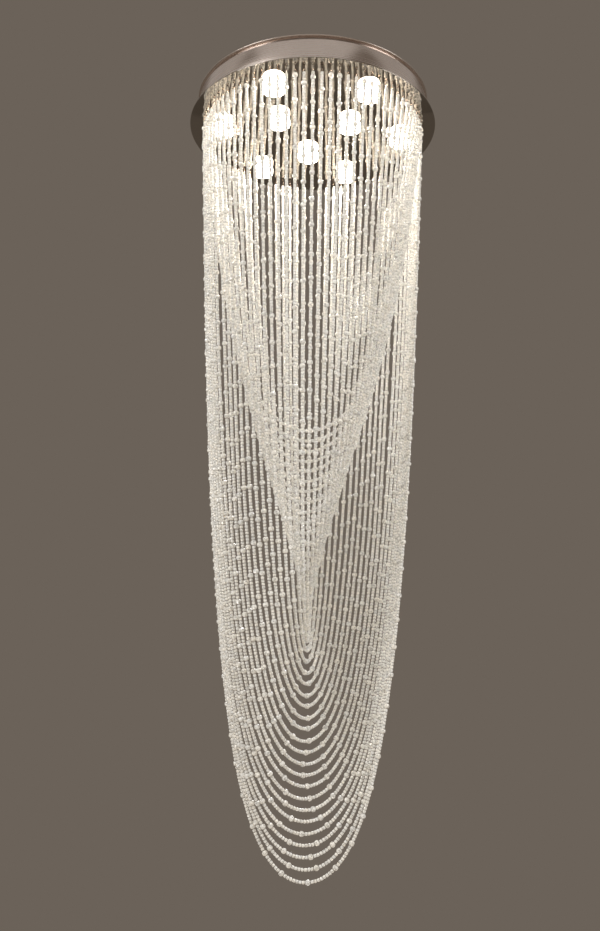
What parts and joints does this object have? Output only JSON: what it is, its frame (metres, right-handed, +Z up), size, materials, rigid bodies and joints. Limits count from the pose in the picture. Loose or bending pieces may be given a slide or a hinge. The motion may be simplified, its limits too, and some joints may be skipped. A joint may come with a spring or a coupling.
{
  "type": "crystal chandelier",
  "caption": "Flush ceiling light: a round mirror-plate canopy with twist-lock lamps and long U-shaped glass bead garlands that hang from a ring of hooks.",
  "frame": {"origin": "middle of the ceiling bracket's upper face, in the plane of the ceiling", "axes": "+Z up towards the ceiling, so the fixture hangs below z = 0; -Y is the front, where the hooks of the garlands of middle length are; +X is to the right seen from the front, and the shortest and the longest garlands hang nearly along X"},
  "size_m": [0.5999, 0.6, 1.81],
  "materials": {
    "polished_steel": "polished",
    "mirror_steel": "mirror",
    "zinc_steel": "zinc plated",
    "hook_wire": "plated wire",
    "crystal_beads": "cut and polished",
    "lamp_glass": "frosted, lit",
    "holder_ceramic": "glazed",
    "terminal_brass": "bright",
    "bush_rubber": "matt",
    "block_plastic": "matt"
  },
  "bodies": {
    "fixture": {"bracket_nuts": "zinc_steel", "cable_bush": "bush_rubber", "canopy_drum": "polished_steel", "cap_nuts": "polished_steel", "ceiling_bracket": "zinc_steel", "earth_screw": "terminal_brass", "garlands_01": "crystal_beads", "garlands_02": "crystal_beads", "garlands_03": "crystal_beads", "garlands_04": "crystal_beads", "garlands_05": "crystal_beads", "garlands_06": "crystal_beads", "garlands_07": "crystal_beads", "garlands_08": "crystal_beads", "garlands_09": "crystal_beads", "garlands_10": "crystal_beads", "garlands_11": "crystal_beads", "garlands_12": "crystal_beads", "garlands_13": "crystal_beads", "garlands_14": "crystal_beads", "garlands_15": "crystal_beads", "garlands_16": "crystal_beads", "garlands_17": "crystal_beads", "garlands_18": "crystal_beads", "garlands_19": "crystal_beads", "garlands_20": "crystal_beads", "garlands_21": "crystal_beads", "hanger_bolts": "zinc_steel", "holder_contacts": "terminal_brass", "holder_screws": "zinc_steel", "lamp_straps": "zinc_steel", "lampholder_1": "holder_ceramic", "lampholder_2": "holder_ceramic", "lampholder_3": "holder_ceramic", "lampholder_4": "holder_ceramic", "lampholder_5": "holder_ceramic", "lampholder_6": "holder_ceramic", "lampholder_7": "holder_ceramic", "lampholder_8": "holder_ceramic", "lampholder_9": "holder_ceramic", "mirror_plate": "mirror_steel", "plate_washers": "polished_steel", "strand_hooks": "hook_wire", "terminal_block": "block_plastic", "terminal_screws": "terminal_brass"},
    "lamp_1_turning": {"lamp_1": "lamp_glass"},
    "lamp_2_turning": {"lamp_2": "lamp_glass"},
    "lamp_3_turning": {"lamp_3": "lamp_glass"},
    "lamp_4_turning": {"lamp_4": "lamp_glass"},
    "lamp_5_turning": {"lamp_5": "lamp_glass"},
    "lamp_6_turning": {"lamp_6": "lamp_glass"},
    "lamp_7_turning": {"lamp_7": "lamp_glass"},
    "lamp_8_turning": {"lamp_8": "lamp_glass"},
    "lamp_9_turning": {"lamp_9": "lamp_glass"}
  },
  "joints": [
    {"name": "lamp_1_twist", "type": "hinge", "parent": "fixture", "child": "lamp_1_turning", "pos_m": [0.2178, 0.02289, -0.042], "axis": [0, 0, -1], "range_deg": [0, 22]},
    {"name": "lamp_2_twist", "type": "hinge", "parent": "fixture", "child": "lamp_2_turning", "pos_m": [0.08908, 0.20007, -0.042], "axis": [0, 0, -1], "range_deg": [0, 22]},
    {"name": "lamp_3_twist", "type": "hinge", "parent": "fixture", "child": "lamp_3_turning", "pos_m": [-0.12873, 0.17717, -0.042], "axis": [0, 0, -1], "range_deg": [0, 22]},
    {"name": "lamp_4_twist", "type": "hinge", "parent": "fixture", "child": "lamp_4_turning", "pos_m": [-0.2178, -0.02289, -0.042], "axis": [0, 0, -1], "range_deg": [0, 22]},
    {"name": "lamp_5_twist", "type": "hinge", "parent": "fixture", "child": "lamp_5_turning", "pos_m": [-0.08908, -0.20007, -0.042], "axis": [0, 0, -1], "range_deg": [0, 22]},
    {"name": "lamp_6_twist", "type": "hinge", "parent": "fixture", "child": "lamp_6_turning", "pos_m": [0.12873, -0.17717, -0.042], "axis": [0, 0, -1], "range_deg": [0, 22]},
    {"name": "lamp_7_twist", "type": "hinge", "parent": "fixture", "child": "lamp_7_turning", "pos_m": [-0.01035, 0.09846, -0.042], "axis": [0, 0, -1], "range_deg": [0, 22]},
    {"name": "lamp_8_twist", "type": "hinge", "parent": "fixture", "child": "lamp_8_turning", "pos_m": [-0.08009, -0.05819, -0.042], "axis": [0, 0, -1], "range_deg": [0, 22]},
    {"name": "lamp_9_twist", "type": "hinge", "parent": "fixture", "child": "lamp_9_turning", "pos_m": [0.09044, -0.04027, -0.042], "axis": [0, 0, -1], "range_deg": [0, 22]}
  ]
}
